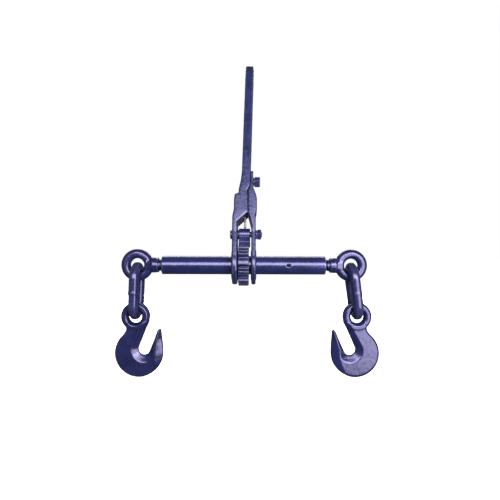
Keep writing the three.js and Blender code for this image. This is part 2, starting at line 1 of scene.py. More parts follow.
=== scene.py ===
# Ratchet load binder: a barrel with a ratchet gear, a lever with a reversible pawl, and at
# each end a screw with a forged eye, a welded link and a grab hook. Metres, in the frame of
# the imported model; the sizes inside the sections are in millimetres.
from math import cos, pi, radians, sin

import bpy
import numpy as np
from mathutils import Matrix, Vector


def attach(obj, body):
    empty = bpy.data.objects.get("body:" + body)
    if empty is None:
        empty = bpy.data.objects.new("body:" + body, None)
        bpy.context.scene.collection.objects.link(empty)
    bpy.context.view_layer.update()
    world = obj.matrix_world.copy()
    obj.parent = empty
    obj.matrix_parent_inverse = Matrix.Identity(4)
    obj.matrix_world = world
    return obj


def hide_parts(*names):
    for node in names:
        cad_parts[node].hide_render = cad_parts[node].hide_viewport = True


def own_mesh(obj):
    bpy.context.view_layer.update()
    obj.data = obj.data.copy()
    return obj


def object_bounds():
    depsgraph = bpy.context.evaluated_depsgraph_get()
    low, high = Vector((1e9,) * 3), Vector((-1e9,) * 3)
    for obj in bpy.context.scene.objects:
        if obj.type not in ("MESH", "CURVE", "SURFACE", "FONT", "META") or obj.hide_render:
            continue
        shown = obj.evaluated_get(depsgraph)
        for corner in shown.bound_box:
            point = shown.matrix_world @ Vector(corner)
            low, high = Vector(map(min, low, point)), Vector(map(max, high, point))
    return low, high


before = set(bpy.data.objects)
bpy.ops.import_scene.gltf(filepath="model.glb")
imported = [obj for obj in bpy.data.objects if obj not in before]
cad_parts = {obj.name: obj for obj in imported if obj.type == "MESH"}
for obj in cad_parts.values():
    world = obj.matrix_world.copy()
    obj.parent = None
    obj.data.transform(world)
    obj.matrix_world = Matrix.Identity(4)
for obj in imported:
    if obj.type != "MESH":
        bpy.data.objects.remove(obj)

cad_box = [list(corner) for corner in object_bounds()]

# ---- Camera, lights and floor ----
# A studio view from the front, a little above the barrel. Two large soft lights stand in
# front, a long one above, and one behind that colours the back but leaves no reflection.

eye_point = Vector((0.0098, -0.650, 0.0239))
camera = bpy.data.objects.new("camera", bpy.data.cameras.new("camera"))
camera.data.sensor_width = 36
camera.data.lens = 29.9
camera.location = eye_point
camera.rotation_euler = (pi / 2, radians(-0.15), 0)
bpy.context.scene.collection.objects.link(camera)
bpy.context.scene.camera = camera
bpy.context.scene.view_settings.view_transform = "Standard"


def soft_light(name, place, target, width, height, power):
    """A rectangular soft light that faces the target."""
    lamp = bpy.data.lights.new(name, "AREA")
    lamp.shape = "RECTANGLE"
    lamp.size = width
    lamp.size_y = height
    lamp.energy = power
    holder = bpy.data.objects.new(name, lamp)
    holder.location = place
    holder.rotation_euler = (Vector(target) - Vector(place)).to_track_quat("-Z", "Y").to_euler()
    bpy.context.scene.collection.objects.link(holder)
    return holder


soft_light("front_light", (0.10, -1.00, 0.34), (0.0, 0.0, 0.02), 1.30, 0.54, 23)
soft_light("right_light", (0.60, -0.80, -0.06), (0.05, 0.0, -0.04), 0.62, 0.78, 10)
soft_light("top_light", (0.0, 0.90, 0.85), (0.0, 0.0, 0.0), 1.3, 0.25, 8)
back_light = soft_light("back_light", (-0.35, 1.20, 0.25), (0.0, 0.0, 0.05), 1.1, 0.60, 26)
back_light.visible_glossy = False

world = bpy.data.worlds.new("studio")
world.use_nodes = True
bpy.context.scene.world = world
world_nodes = world.node_tree.nodes
world_links = world.node_tree.links
room = world_nodes["Background"]
room.inputs["Color"].default_value = (0.80, 0.82, 0.90, 1)
room.inputs["Strength"].default_value = 0.15
backdrop = world_nodes.new("ShaderNodeBackground")
backdrop.inputs["Color"].default_value = (1, 1, 1, 1)
backdrop.inputs["Strength"].default_value = 1.0
straight = world_nodes.new("ShaderNodeLightPath")
either = world_nodes.new("ShaderNodeMixShader")
world_links.new(straight.outputs["Is Camera Ray"], either.inputs["Fac"])
world_links.new(room.outputs["Background"], either.inputs[1])
world_links.new(backdrop.outputs["Background"], either.inputs[2])
world_links.new(either.outputs["Shader"], world_nodes["World Output"].inputs["Surface"])

floor_mesh = bpy.data.meshes.new("floor")
floor_z = cad_box[0][2] - 0.002
floor_mesh.from_pydata(
    [(-6, -6, floor_z), (6, -6, floor_z), (6, 6, floor_z), (-6, 6, floor_z)], [], [(0, 1, 2, 3)])
floor = bpy.data.objects.new("floor", floor_mesh)
floor.visible_glossy = False
floor.visible_diffuse = False
floor.visible_shadow = False
bpy.context.scene.collection.objects.link(floor)
paper = bpy.data.materials.new("pale_paper")
paper.use_nodes = True
paper.node_tree.nodes["Principled BSDF"].inputs["Base Color"].default_value = (0.93, 0.93, 0.94, 1)
paper.node_tree.nodes["Principled BSDF"].inputs["Roughness"].default_value = 0.9
paper.node_tree.nodes["Principled BSDF"].inputs["Emission Color"].default_value = (1, 1, 1, 1)
paper.node_tree.nodes["Principled BSDF"].inputs["Emission Strength"].default_value = 0.94
floor_mesh.materials.append(paper)

# ---- Barrel tube ----
# A seamless steel tube with a thread cut in each end, right-hand and left-hand, and a small
# grease hole in its side. It is sprayed with thick dark blue gloss enamel, which lies a
# little uneven and is chipped through to the primer at the ends.

BARREL_RADIUS = 14.3
BARREL_HALF = 127.0
THREAD_BORE = 9.3
RELIEF_BORE = 11.4


def piece(name, points, faces, material, sharp=None):
    """A smooth mesh object from points in millimetres, with edges over sharp degrees kept."""
    mesh = bpy.data.meshes.new(name)
    mesh.from_pydata((np.asarray(points) * 0.001).tolist(), [], [list(map(int, f)) for f in faces])
    mesh.polygons.foreach_set("use_smooth", [True] * len(mesh.polygons))
    if sharp is not None:
        mesh.set_sharp_from_angle(angle=radians(sharp))
    mesh.materials.append(material)
    made = bpy.data.objects.new(name, mesh)
    bpy.context.scene.collection.objects.link(made)
    return made


def eased(profile, radius):
    """The closed profile with each corner rounded by three short steps."""
    points = np.array(profile, float)
    out = []
    for before, here, after in zip(np.roll(points, 1, 0), points, np.roll(points, -1, 0)):
        reach = [min(radius, np.linalg.norm(side - here) * 0.45) for side in (before, after)]
        a = here + (before - here) / np.linalg.norm(before - here) * reach[0]
        b = here + (after - here) / np.linalg.norm(after - here) * reach[1]
        out += [tuple((1 - t) ** 2 * a + 2 * t * (1 - t) * here + t * t * b)
                for t in (0, 1 / 3, 2 / 3, 1)]
    return out


def turned(profile, around=72):
    """Points and faces of a closed [along, radius] profile turned about the X axis."""
    profile = np.array(profile, float)
    count = len(profile)
    turn = np.arange(around) * 2 * pi / around
    points = np.stack([
        np.repeat(profile[None, :, 0], around, 0),
        profile[None, :, 1] * np.cos(turn)[:, None],
        profile[None, :, 1] * np.sin(turn)[:, None]], -1).reshape(-1, 3)
    faces = []
    for i in range(around):
        this, after = i * count, (i + 1) % around * count
        for j in range(count):
            k = (j + 1) % count
            faces.append((this + j, this + k, after + k, after + j))
    return points, outward(points, faces)


def outward(points, faces):
    """The faces turned over where the closed surface they make is inside out."""
    corners = np.asarray(points)[np.array([f[:3] for f in faces])]
    volume = np.einsum("ij,ij->i", corners[:, 0], np.cross(corners[:, 1], corners[:, 2])).sum()
    return [tuple(reversed(f)) for f in faces] if volume < 0 else faces


def noise(material, scale, detail=3.0, stretch=(1, 1, 1)):
    """A noise node's value on the object's own coordinates. scale is in waves a metre."""
    nodes, links = material.node_tree.nodes, material.node_tree.links
    place = nodes.new("ShaderNodeTexCoord")
    spread = nodes.new("ShaderNodeMapping")
    spread.inputs["Scale"].default_value = stretch
    grain = nodes.new("ShaderNodeTexNoise")
    grain.inputs["Scale"].default_value = scale
    grain.inputs["Detail"].default_value = detail
    links.new(place.outputs["Object"], spread.inputs["Vector"])
    links.new(spread.outputs["Vector"], grain.inputs["Vector"])
    return grain.outputs["Fac"]


def ranged(material, value, from_low, from_high, to_low, to_high):
    """The value carried from one range to another, and held at its ends."""
    carry = material.node_tree.nodes.new("ShaderNodeMapRange")
    carry.inputs["From Min"].default_value = from_low
    carry.inputs["From Max"].default_value = from_high
    carry.inputs["To Min"].default_value = to_low
    carry.inputs["To Max"].default_value = to_high
    material.node_tree.links.new(value, carry.inputs["Value"])
    return carry.outputs["Result"]


def product(material, one, other):
    both = material.node_tree.nodes.new("ShaderNodeMath")
    both.operation = "MULTIPLY"
    material.node_tree.links.new(one, both.inputs[0])
    material.node_tree.links.new(other, both.inputs[1])
    return both.outputs["Value"]


def mixed(material, share, one, other):
    """One colour going over to the other as share goes from 0 to 1. one may be a socket."""
    mix = material.node_tree.nodes.new("ShaderNodeMix")
    mix.data_type = "RGBA"
    links = material.node_tree.links
    links.new(share, mix.inputs["Factor"])
    for socket, colour in ((mix.inputs[6], one), (mix.inputs[7], other)):
        if isinstance(colour, tuple):
            socket.default_value = (*colour, 1)
        else:
            links.new(colour, socket)
    return mix.outputs[2]


def bumped(material, layers):
    """Stacks bumps, each (height value, depth in metres), and joins them to the shader."""
    nodes, links = material.node_tree.nodes, material.node_tree.links
    below = None
    for height, depth in layers:
        bump = nodes.new("ShaderNodeBump")
        bump.inputs["Strength"].default_value = 1.0
        bump.inputs["Distance"].default_value = depth
        links.new(height, bump.inputs["Height"])
        if below is not None:
            links.new(below, bump.inputs["Normal"])
        below = bump.outputs["Normal"]
    links.new(below, nodes["Principled BSDF"].inputs["Normal"])


def enamel(name, deep, thin, gloss, skin_depth, chips):
    """Baked gloss enamel over steel. deep is its colour where it lies thick, thin where it is
    thinner, skin_depth how rough the steel under it is, and chips how worn its edges are."""
    material = bpy.data.materials.new(name)
    material.use_nodes = True
    shader = material.node_tree.nodes["Principled BSDF"]
    links = material.node_tree.links
    cloud = noise(material, 55, 4)
    skin_waves = noise(material, 210, 3)
    peel = noise(material, 900, 2)
    specks = noise(material, 2600, 2)
    body = mixed(material, ranged(material, cloud, 0.35, 0.68, 0, 1), deep, thin)
    edge = material.node_tree.nodes.new("ShaderNodeNewGeometry").outputs["Pointiness"]
    ridge = ranged(material, edge, 0.507, 0.570, 0, 1)
    worn = product(material, ridge, ranged(material, noise(material, 480, 5), 0.60 - chips, 0.66, 0, 1))
    # Sharp edges are lightened towards a pale lavender: partly thinner enamel there, partly a painted
    # highlight.
    thin_and_highlit_edges = mixed(material, product(material, ridge, ranged(material, cloud, 0.2, 0.7, 0.25, 0.8)),
                     body, (0.075, 0.070, 0.150))
    primer = mixed(material, specks, (0.10, 0.10, 0.13), (0.26, 0.25, 0.29))
    colour = mixed(material, worn, thin_and_highlit_edges, primer)
    links.new(colour, shader.inputs["Base Color"])
    dull = mixed(material, worn, mixed(material, ranged(material, skin_waves, 0.3, 0.7, 0, 1),
                                       (gloss - 0.05,) * 3, (gloss + 0.09,) * 3), (0.62,) * 3)
    links.new(dull, shader.inputs["Roughness"])
    shader.inputs["IOR"].default_value = 1.75
    shader.inputs["Specular Tint"].default_value = (0.66, 0.60, 1.0, 1)
    bumped(material, [(cloud, skin_depth), (skin_waves, skin_depth * 0.22), (peel, 0.000025)])
    return material


barrel_enamel = enamel("barrel_enamel", (0.006, 0.009, 0.040), (0.011, 0.015, 0.066),
                       0.20, 0.00030, 0.02)


def thread_end(side):
    """The profile of one threaded end, from its outside edge in to the relieved bore."""
    crests = []
    pitch, depth, start = 3.4, 0.9, BARREL_HALF - 20
    along = BARREL_HALF - 0.9
    while along > start + 2:
        crests += [(side * along, THREAD_BORE), (side * (along - 0.7), THREAD_BORE),
                   (side * (along - 1.3), THREAD_BORE + depth),
                   (side * (along - 2.4), THREAD_BORE + depth)]
        along -= pitch
    return [(side * (BARREL_HALF - 1.4), BARREL_RADIUS),
            (side * (BARREL_HALF - 0.7), BARREL_RADIUS - 0.15),
            (side * (BARREL_HALF - 0.2), BARREL_RADIUS - 0.6),
            (side * BARREL_HALF, BARREL_RADIUS - 1.2),
            (side * BARREL_HALF, THREAD_BORE + 1.2),
            *crests,
            (side * start, THREAD_BORE),
            (side * (start - 3), RELIEF_BORE)]


outside = [(x, BARREL_RADIUS) for x in np.linspace(-BARREL_HALF + 3, BARREL_HALF - 3, 60)]
barrel_points, barrel_faces = turned([*outside, *thread_end(1), *reversed(thread_end(-1))], 96)
barrel = piece("barrel_tube_enamelled", barrel_points, barrel_faces, barrel_enamel, 32)

drill_points, drill_faces = turned([(-16.0, 0.01), (-16.0, 3.4), (-14.1, 3.0), (-13.4, 2.0),
                                    (-9.0, 2.0), (-9.0, 0.01)], 32)
drill = piece("drill", np.stack([drill_points[:, 1] + 69, drill_points[:, 0], drill_points[:, 2]], -1),
              [tuple(reversed(f)) for f in drill_faces], barrel_enamel)
hole = barrel.modifiers.new("grease_hole", "BOOLEAN")
hole.operation = "DIFFERENCE"
hole.object = drill
drilled = bpy.data.meshes.new_from_object(barrel.evaluated_get(bpy.context.evaluated_depsgraph_get()))
barrel.modifiers.remove(hole)
barrel.data = drilled
bpy.data.objects.remove(drill)
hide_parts("barrel_tube")
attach(barrel, "barrel")

# ---- Ratchet gear ----
# A forged steel gear pressed and welded on the middle of the barrel, with twelve blunt teeth
# all round. The pawl works against their sides, so their edges are rounded over and the
# enamel is thin there; its lighter edges are partly that thin enamel and partly a painted
# highlight. Its enamel is darker than the rest as painted shade, for the shadow between the
# lever's arms. One tooth stands in line with the leaning lever.

TEETH = 12
GEAR_HALF = 8.2
GEAR_ROOT = 26.0
GEAR_TIP = 32.0
GEAR_PHASE = 10.0


def tree_with_sizes(name, sizes):
    """An empty node tree with a mesh in and out, a material, and one named size input each."""
    tree = bpy.data.node_groups.new(name, "GeometryNodeTree")
    tree.interface.new_socket("Geometry", in_out="INPUT", socket_type="NodeSocketGeometry")
    for label, value in sizes.items():
        kind = "NodeSocketInt" if isinstance(value, int) else "NodeSocketFloat"
        tree.interface.new_socket(label, in_out="INPUT", socket_type=kind).default_value = value
    tree.interface.new_socket("Finish", in_out="INPUT", socket_type="NodeSocketMaterial")
    tree.interface.new_socket("Geometry", in_out="OUTPUT", socket_type="NodeSocketGeometry")
    return tree, tree.nodes.new("NodeGroupInput").outputs, tree.nodes.new("NodeGroupOutput").inputs


def joined(tree, node_kind, values=None, **settings):
    """A node with its inputs set or linked, by their names or places in the list."""
    made = tree.nodes.new(node_kind)
    for key, value in settings.items():
        setattr(made, key, value)
    for key, value in (values or {}).items():
        if isinstance(value, bpy.types.NodeSocket):
            tree.links.new(value, made.inputs[key])
        else:
            made.inputs[key].default_value = value
    return made


def closed_off(tree, shape, sizes, ends):
    """Ends the tree in Realize Instances and Set Material."""
    real = joined(tree, "GeometryNodeRealizeInstances", {"Geometry": shape})
    done = joined(tree, "GeometryNodeSetMaterial",
                  {"Geometry": real.outputs["Geometry"], "Material": sizes["Finish"]})
    tree.links.new(done.outputs["Geometry"], ends["Geometry"])


def grown(seed, tree, values, finish, sharp=None):
    """The seed object with what the tree makes of it as its plain mesh."""
    modifier = seed.modifiers.new("made", "NODES")
    modifier.node_group = tree
    for item in tree.interface.items_tree:
        if item.in_out == "INPUT" and item.name in values:
            modifier[item.identifier] = values[item.name]
        if item.in_out == "INPUT" and item.name == "Finish":
            modifier[item.identifier] = finish
    ready = seed.evaluated_get(bpy.context.evaluated_depsgraph_get())
    made = bpy.data.meshes.new_from_object(ready)
    seed.modifiers.remove(modifier)
    seed.data = made
    made.polygons.foreach_set("use_smooth", [True] * len(made.polygons))
    if sharp is not None:
        made.set_sharp_from_angle(angle=radians(sharp))
    return seed


def face_out(made):
    """Turns the object's faces over if they point inwards."""
    faces = [tuple(p.vertices) for p in made.data.polygons]
    if outward([v.co[:] for v in made.data.vertices], faces)[0] != faces[0]:
        made.data.flip_normals()


def tooth_sector():
    """One twelfth of the gear, as a loft of its outline from one gap's middle to the next."""
    half = [(15.0, GEAR_ROOT), (12.0, GEAR_ROOT), (10.4, GEAR_ROOT + 0.1), (9.3, GEAR_ROOT + 0.7),
            (8.6, GEAR_ROOT + 1.8), (7.4, GEAR_ROOT + 3.8), (6.3, GEAR_TIP - 0.9),
            (5.6, GEAR_TIP - 0.3), (4.6, GEAR_TIP), (2.3, GEAR_TIP)]
    across = [(-a, r) for a, r in half] + [(0.0, GEAR_TIP)] + [(a, r) for a, r in reversed(half)]
    inner = BARREL_RADIUS + 0.3
    rows = []
    for angle, radius in across:
        section = [(-GEAR_HALF, inner), (-GEAR_HALF, inner + 5), (-GEAR_HALF, radius - 1.2),
                   (-GEAR_HALF + 0.25, radius - 0.5), (-GEAR_HALF + 0.8, radius - 0.1),
                   (-GEAR_HALF + 1.6, radius), (0.0, radius), (GEAR_HALF - 1.6, radius),
                   (GEAR_HALF - 0.8, radius - 0.1), (GEAR_HALF - 0.25, radius - 0.5),
                   (GEAR_HALF, radius - 1.2), (GEAR_HALF, inner + 5), (GEAR_HALF, inner)]
        turn = radians(angle + GEAR_PHASE)
        rows.append([(x, r * sin(turn), r * cos(turn)) for x, r in section])
    count = len(rows[0])
    faces = [(i * count + j, i * count + (j + 1) % count, (i + 1) * count + (j + 1) % count,
              (i + 1) * count + j) for i in range(len(rows) - 1) for j in range(count)]
    return [p for row in rows for p in row], faces


gear_tree, size, end = tree_with_sizes("toothed_ring", {"Teeth": TEETH, "Join": 0.00005})
seats = joined(gear_tree, "GeometryNodeMeshLine", {"Count": size["Teeth"], "Offset": (0, 0, 0)})
pitch = joined(gear_tree, "ShaderNodeMath", {0: 2 * pi, 1: size["Teeth"]}, operation="DIVIDE")
number = joined(gear_tree, "GeometryNodeInputIndex")
turn = joined(gear_tree, "ShaderNodeMath", {0: number.outputs[0], 1: pitch.outputs[0]},
              operation="MULTIPLY")
about_x = joined(gear_tree, "ShaderNodeCombineXYZ", {"X": turn.outputs[0]})
placed = joined(gear_tree, "GeometryNodeInstanceOnPoints", {
    "Points": seats.outputs["Mesh"], "Instance": size["Geometry"],
    "Rotation": about_x.outputs["Vector"]})
whole = joined(gear_tree, "GeometryNodeRealizeInstances", {"Geometry": placed.outputs["Instances"]})
welded = joined(gear_tree, "GeometryNodeMergeByDistance", {
    "Geometry": whole.outputs["Geometry"], "Distance": size["Join"]})
closed_off(gear_tree, welded.outputs["Geometry"], size, end)

# The gear's enamel is darker than the other parts' enamel: painted shade for the shadow it lies in between
# the arms.
gear_enamel_painted_shade = enamel("gear_enamel_painted_shade", (0.004, 0.006, 0.026), (0.009, 0.011, 0.050),
                     0.30, 0.00020, 0.07)
sector_points, sector_faces = tooth_sector()
sector = piece("ratchet_gear_enamelled", sector_points, sector_faces, gear_enamel_painted_shade)
gear = grown(sector, gear_tree, {"Teeth": TEETH}, gear_enamel_painted_shade, 50)
face_out(gear)
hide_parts("ratchet_gear")
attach(gear, "barrel")

# ---- Handle forging ----
# The lever is one drop forging: a long flat shaft with a shallow web in each side, which
# steps out to the left into the fork's arm, and whose end is a broad eye round the barrel.
# Its edges are drawn out round by the dies, and it is dipped in the same enamel.

ARM_BORE = BARREL_RADIUS + 0.4
FORK_EYE = 30.0
PAWL_PIN_Z = 49.0
PIN_BORE = 4.9
ROOF_Z = 66.0
SEAT_Z = 81.0
SEAT_END_Z = 116.5
TONGUE_Z = 149.0
BOLT_Z = 136.0
HANDLE_END_Z = 340.5
LEFT_OUTSIDE = -18.0
LEFT_INSIDE = -9.6
RIGHT_INSIDE = 11.8
RIGHT_OUTSIDE = 18.6
PLUNGER_X = 1.9
BOSS_RADIUS = 22.5
PLUNGER_BORE = 3.2
LEAN = radians(10)


def soft_max(one, other, ease):
    """The greater of two distances, with the edge between them rounded over by ease."""
    share = np.clip(0.5 + 0.5 * (one - other) / ease, 0, 1)
    return other + (one - other) * share + ease * share * (1 - share)


def soft_min(one, other, ease):
    return -soft_max(-one, -other, ease)


def nearest(points, u, v, closed=True):
    """How far (u, v) is from a line of points, and whether it is inside it."""
    best = np.full(np.broadcast(u, v).shape, 1e9)
    within = np.zeros(best.shape, bool)
    ends = points[1:] + points[:1] if closed else points[1:]
    for (a, b), (c, d) in zip(points, ends):
        run, rise = c - a, d - b
        share = np.clip(((u - a) * run + (v - b) * rise) / (run * run + rise * rise), 0, 1)
        best = np.minimum(best, (u - a - share * run) ** 2 + (v - b - share * rise) ** 2)
        if rise:
            within ^= ((b > v) != (d > v)) & (u < a + (v - b) * run / rise)
    return np.sqrt(best), within


def inside_of(points, u, v):
    """The distance outside a closed outline, less than zero inside it."""
    away, within = nearest(points, u, v)
    return np.where(within, -away, away)


def arc(middle, radius, start, stop, steps):
    """Points of an arc, its angles in degrees."""
    turn = np.radians(np.linspace(start, stop, steps + 1))
    return [(middle[0] + radius * cos(a), middle[1] + radius * sin(a)) for a in turn]


def curve(start, control, stop, steps):
    return [tuple((1 - t) ** 2 * np.array(start) + 2 * t * (1 - t) * np.array(control)
                  + t * t * np.array(stop)) for t in np.linspace(0, 1, steps + 1)]


def skin(field, low, high, step):
    """Points and faces of the surface where field(x, y, z) is zero, less than zero inside."""
    counts = [int(round((b - a) / step)) + 1 for a, b in zip(low, high)]
    axes = [a + step * np.arange(n) for a, n in zip(low, counts)]
    x, y, z = np.meshgrid(*axes, indexing="ij", sparse=True)
    value = np.broadcast_to(field(x, y, z), counts)
    cells = [n - 1 for n in counts]
    total, hits, edges = np.zeros([*cells, 3]), np.zeros(cells), []
    for axis in range(3):
        lower, upper = [slice(None)] * 3, [slice(None)] * 3
        lower[axis], upper[axis] = slice(0, -1), slice(1, None)
        a, b = value[tuple(lower)], value[tuple(upper)]
        crossing = (a < 0) != (b < 0)
        share = np.where(crossing, a / np.where(crossing, a - b, 1), 0)
        others = [k for k in range(3) if k != axis]
        for i in (0, 1):
            for j in (0, 1):
                part = [slice(None)] * 3
                part[others[0]] = slice(i, cells[others[0]] + i)
                part[others[1]] = slice(j, cells[others[1]] + j)
                here = crossing[tuple(part)]
                hits += here
                total[..., axis] += share[tuple(part)]
                total[..., others[0]] += i * here
                total[..., others[1]] += j * here
        edges.append((others, crossing, a < 0))
    number = np.full(cells, -1)
    used = np.argwhere(hits > 0)
    number[tuple(used.T)] = np.arange(len(used))
    points = np.array(low) + step * (used + total[tuple(used.T)] / hits[tuple(used.T)][:, None])
    faces = []
    for axis, (others, crossing, rising) in enumerate(edges):
        at = np.argwhere(crossing)
        for k in others:
            at = at[(at[:, k] > 0) & (at[:, k] < counts[k] - 1)]
        ring = []
        for i, j in ((-1, -1), (0, -1), (0, 0), (-1, 0)):
            cell = at.copy()
            cell[:, others[0]] += i
            cell[:, others[1]] += j
            ring.append(number[tuple(cell.T)])
        quads = np.stack(ring, 1)
        turned_over = rising[tuple(at.T)] == (axis == 1)
        quads[turned_over] = quads[turned_over][:, ::-1]
        faces.append(quads)
    for _ in range(3):
        points = settled(field, points, step)
    return points, np.concatenate(faces)


def settled(field, points, step):
    """The points moved along the field's slope on to the surface, by half a step at most."""
    x, y, z = points.T
    gap = step * 0.2
    slope = np.stack([
        field(x + gap, y, z) - field(x - gap, y, z),
        field(x, y + gap, z) - field(x, y - gap, z),
        field(x, y, z + gap) - field(x, y, z - gap)], -1) / (2 * gap)
    steepness = np.maximum((slope ** 2).sum(-1, keepdims=True), 0.05)
    move = -field(x, y, z)[:, None] * slope / steepness
    length = np.maximum(np.linalg.norm(move, axis=1, keepdims=True), 1e-9)
    return points + move * np.minimum(1, 0.5 * step / length)


def stood_up(points):
    """The lever's own upright points, leaned back as the lever stands at rest."""
    x, y, z = np.asarray(points, float).T
    return np.stack([x, y * cos(LEAN) + z * sin(LEAN), z * cos(LEAN) - y * sin(LEAN)], -1)


def shaft_middle(z):
    return -0.4 + 0.027 * z


lever_side = [*arc((0, 0), FORK_EYE, -200, 20, 44), (23, PAWL_PIN_Z), (20, SEAT_Z + 20),
              (18, TONGUE_Z), (13, HANDLE_END_Z - 60),
              *arc((0, HANDLE_END_Z - 13), 13, 0, 180, 18), (-13, HANDLE_END_Z - 60),
              (-18, TONGUE_Z), (-20, SEAT_Z + 20), (-23, PAWL_PIN_Z)]
forging_front = [
    (LEFT_OUTSIDE, -40), (LEFT_INSIDE, -40), (LEFT_INSIDE, ROOF_Z), (6.8, SEAT_Z),
    (6.1, SEAT_END_Z), (shaft_middle(SEAT_END_Z + 10) + 7.1, SEAT_END_Z + 10),
    (shaft_middle(360) + 7.1, 360),
    (shaft_middle(360) - 7.1, 360), (shaft_middle(TONGUE_Z) - 7.1, TONGUE_Z),
    (shaft_middle(BOLT_Z) - 8.1, BOLT_Z), (shaft_middle(BOLT_Z) - 11.7, SEAT_END_Z + 1.5),
    (shaft_middle(BOLT_Z) - 11.7, SEAT_END_Z - 3), (LEFT_OUTSIDE + 3.4, SEAT_END_Z - 6),
    (LEFT_OUTSIDE + 2.4, SEAT_END_Z - 14), (LEFT_OUTSIDE + 2.4, SEAT_Z + 6),
    (LEFT_OUTSIDE, SEAT_Z - 7)]
web_side = [*curve((-12.4, 163), (0, 150.6), (12.4, 163), 8),
            *curve((8.4, 308), (0, 316.4), (-8.4, 308), 8)]


def forging(x, y, z):
    blank = soft_max(inside_of(forging_front, x, z), inside_of(lever_side, y, z), 3.2)
    blank = soft_max(blank, z - HANDLE_END_Z, 3.0)
    from_barrel = np.sqrt(y * y + z * z)
    boss = soft_max(from_barrel - BOSS_RADIUS, np.abs(x + 13.9) - 4.9, 1.6)
    from_pin = np.sqrt(y * y + (z - PAWL_PIN_Z) ** 2)
    pad = soft_max(from_pin - 10.5, np.abs(x + 14.0) - 4.2, 1.0)
    blank = soft_min(soft_min(blank, boss, 2.0), pad, 1.0)
    web = soft_max(inside_of(web_side, y, z), 4.7 - np.abs(x - shaft_middle(z)), 2.4)
    blank = soft_max(blank, -web, 1.8)
    blank = soft_max(blank, ARM_BORE - from_barrel, 1.0)
    blank = soft_max(blank, PIN_BORE - from_pin, 0.5)
    from_bolt = np.sqrt(y * y + (z - BOLT_Z) ** 2)
    bolt_hole = np.maximum(from_bolt - 4.9, -8.4 + shaft_middle(BOLT_Z) + 3.2 - x)
    bore = np.maximum(np.sqrt((x - PLUNGER_X) ** 2 + y * y) - PLUNGER_BORE, np.abs(z - 82) - 22)
    return soft_max(np.maximum(blank, -bolt_hole), -bore, 0.4)


lever_enamel = enamel("lever_enamel", (0.006, 0.011, 0.042), (0.011, 0.018, 0.070),
                      0.24, 0.00036, 0.05)
forging_points, forging_faces = skin(forging, (-21, -33, -33), (19, 33, 345), 1.0)
lever_body = piece("handle_forging_enamelled", stood_up(forging_points), forging_faces,
                   lever_enamel)
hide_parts("handle_forging")
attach(lever_body, "lever")

# ---- Cover plate ----
# The fork's right arm is a second forging, bolted to the shaft through its narrow tongue.
# It leans in over a step to lie on the shaft, and swells where it meets the seat.


def tongue_outside(z):
    return shaft_middle(z) + 7.1 + 0.3 + 3.8


cover_front = [
    (RIGHT_INSIDE, -40), (RIGHT_OUTSIDE, -40), (RIGHT_OUTSIDE, SEAT_Z - 3),
    (RIGHT_OUTSIDE + 1.9, SEAT_Z + 6), (RIGHT_OUTSIDE + 1.9, SEAT_END_Z - 14),
    (RIGHT_OUTSIDE + 0.8, SEAT_END_Z - 7), (tongue_outside(SEAT_END_Z + 10), SEAT_END_Z + 7),
    (tongue_outside(TONGUE_Z), TONGUE_Z), (shaft_middle(TONGUE_Z) + 7.15, TONGUE_Z),
    (shaft_middle(SEAT_END_Z + 10) + 7.15, SEAT_END_Z + 10), (6.15, SEAT_END_Z + 0.1), (6.85, SEAT_Z),
    (RIGHT_INSIDE, SEAT_Z - 19)]


def cover(x, y, z):
    blank = soft_max(inside_of(cover_front, x, z), inside_of(lever_side, y, z), 2.8)
    from_barrel = np.sqrt(y * y + z * z)
    boss = soft_max(from_barrel - BOSS_RADIUS, np.abs(x - 15.4) - 4.1, 1.6)
    blank = soft_min(blank, boss, 2.0)
    blank = soft_max(blank, ARM_BORE - from_barrel, 1.0)
    blank = soft_max(blank, PIN_BORE - np.sqrt(y * y + (z - PAWL_PIN_Z) ** 2), 0.5)
    return soft_max(blank, PIN_BORE - np.sqrt(y * y + (z - BOLT_Z) ** 2), 0.5)


cover_points, cover_faces = skin(cover, (3, -33, -33), (23, 33, 153), 0.8)
cover_plate = piece("cover_plate_enamelled", stood_up(cover_points), cover_faces, lever_enamel)
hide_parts("cover_plate")
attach(cover_plate, "lever")

# ---- Handle bolt ----
# A hexagon bolt that clamps the cover plate's tongue to the shaft, over a split lock washer.
# It was painted after assembly, with the same enamel as the rest.

ACROSS_FLATS = 14.4
BOLT_SEAT = tongue_outside(BOLT_Z) + 0.3
HEAD_START = BOLT_SEAT + 2 + 0.3
HEAD_HEIGHT = 8.6
HEX_CHAMFER = 7.3


def hexagon(y, z, z0):
    """The distance outside a hexagon about the line z = z0, with flats above and below."""
    up = np.abs(z - z0)
    return np.maximum(up, 0.5 * up + 0.866 * np.abs(y)) - ACROSS_FLATS / 2


def handle_bolt(x, y, z):
    from_axis = np.sqrt(y * y + (z - BOLT_Z) ** 2)
    head = soft_max(hexagon(y, z, BOLT_Z), np.abs(x - HEAD_START - HEAD_HEIGHT / 2) - HEAD_HEIGHT / 2, 0.7)
    head = soft_max(head, (from_axis + 1.73 * (x - HEAD_START - HEAD_HEIGHT) - HEX_CHAMFER) / 2, 0.6)
    shank = soft_max(from_axis - 4.6, np.abs(x - HEAD_START + 7.0) - 7.6, 0.6)
    return np.minimum(head, shank)


fastener_enamel = enamel("fastener_enamel", (0.007, 0.010, 0.045), (0.014, 0.018, 0.078),
                         0.24, 0.00014, 0.08)
bolt_points, bolt_faces = skin(handle_bolt, (HEAD_START - 16, -10, BOLT_Z - 10),
                               (HEAD_START + 10.4, 10, BOLT_Z + 10), 0.4)
bolt = piece("handle_bolt_enamelled", stood_up(bolt_points), bolt_faces, fastener_enamel)
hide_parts("handle_bolt")
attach(bolt, "lever")

# ---- Split lock washers ----
# Two square-wire spring washers, one under the bolt's head and one under the pawl pin's nut.
# Each is cut through at a slant, with its ends sprung a little apart.


